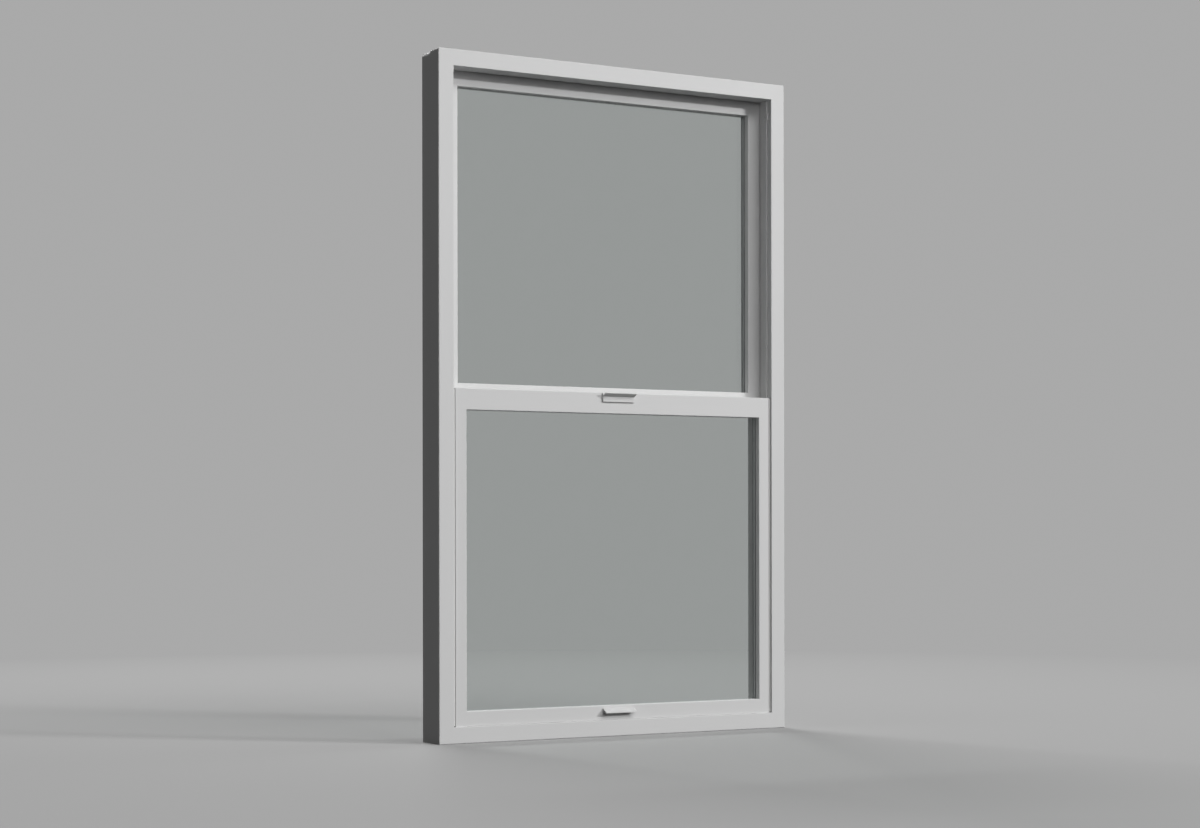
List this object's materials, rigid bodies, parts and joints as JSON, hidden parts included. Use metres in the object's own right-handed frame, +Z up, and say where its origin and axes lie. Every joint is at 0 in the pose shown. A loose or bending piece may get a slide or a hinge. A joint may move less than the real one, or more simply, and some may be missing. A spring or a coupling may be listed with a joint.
{
  "type": "single hung window",
  "caption": "Rectangular white single hung window with a fixed upper light and a lower sash that slides up in front of it, with insulated glass and a pull on each sash rail.",
  "frame": {"origin": "middle of the sill's flat underside, at mid depth of the frame", "axes": "+X to the right seen from the room, +Y outdoors, +Z up"},
  "size_m": [0.9144, 0.0946, 1.524],
  "materials": {
    "frame_paint": "satin white paint on aluminium",
    "sash_paint": "satin white paint on aluminium",
    "pull_paint": "satin white paint",
    "glass": "clear float glass",
    "spacer": "mill finish, dull",
    "gasket": "matt black rubber",
    "pile": "pale grey pile weatherstrip",
    "nylon": "off-white nylon"
  },
  "bodies": {
    "frame": {"head": "frame_paint", "sill": "frame_paint", "left_jamb": "frame_paint", "right_jamb": "frame_paint", "sloped_sill": "frame_paint", "fixed_top_rail": "frame_paint", "fixed_left_stile": "frame_paint", "fixed_right_stile": "frame_paint", "fixed_meeting_rail": "frame_paint", "fixed_inner_pane": "glass", "fixed_outer_pane": "glass", "fixed_spacer": "spacer", "fixed_bead_top": "frame_paint", "fixed_bead_bottom": "frame_paint", "fixed_bead_left": "frame_paint", "fixed_bead_right": "frame_paint", "fixed_gasket": "gasket", "meeting_seal": "pile", "left_stop": "frame_paint", "right_stop": "frame_paint"},
    "sash": {"sash_top_rail": "sash_paint", "sash_bottom_rail": "sash_paint", "sash_left_stile": "sash_paint", "sash_right_stile": "sash_paint", "sash_inner_pane": "glass", "sash_outer_pane": "glass", "sash_spacer": "spacer", "sash_bead_top": "sash_paint", "sash_bead_bottom": "sash_paint", "sash_bead_left": "sash_paint", "sash_bead_right": "sash_paint", "sash_gasket": "gasket", "lift_pull": "pull_paint", "meeting_rail_pull": "pull_paint", "guide_top_left": "nylon", "guide_top_right": "nylon", "guide_bottom_left": "nylon", "guide_bottom_right": "nylon", "left_pile": "pile", "right_pile": "pile", "bottom_seal": "gasket"}
  },
  "joints": [
    {"name": "sash_lift", "type": "slide", "parent": "frame", "child": "sash", "axis": [0, 0, 1], "range_m": [0, 0.65]}
  ]
}
